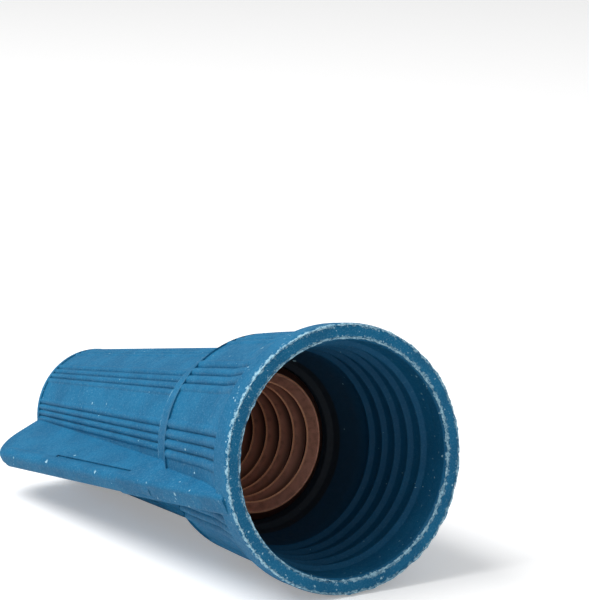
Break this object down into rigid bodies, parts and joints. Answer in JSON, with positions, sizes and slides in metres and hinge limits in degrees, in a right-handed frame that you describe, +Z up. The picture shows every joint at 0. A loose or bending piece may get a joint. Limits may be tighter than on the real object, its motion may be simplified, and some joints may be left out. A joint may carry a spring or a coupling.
{
  "type": "twist wire connector",
  "caption": "Winged, ribbed twist-on wire connector: a flared moulded shell with a threaded mouth and a narrowing square-wire spring inside that grips stripped conductors.",
  "frame": {"origin": "bottom centre of the bounding box, on the surface that the connector lies on", "axes": "+Z up from the surface; +Y along the connector from its mouth towards its closed end, which is slightly lower; the -X wing leans down by 17 degrees"},
  "size_m": [0.02, 0.0414, 0.0194],
  "materials": {
    "shell_plastic": "matte moulded polypropylene, fine grain",
    "spring_wire": "copper-coloured plating on drawn square steel wire, dulled"
  },
  "bodies": {
    "root": {"insulating_shell": "shell_plastic", "square_wire_spring": "spring_wire"}
  },
  "joints": []
}
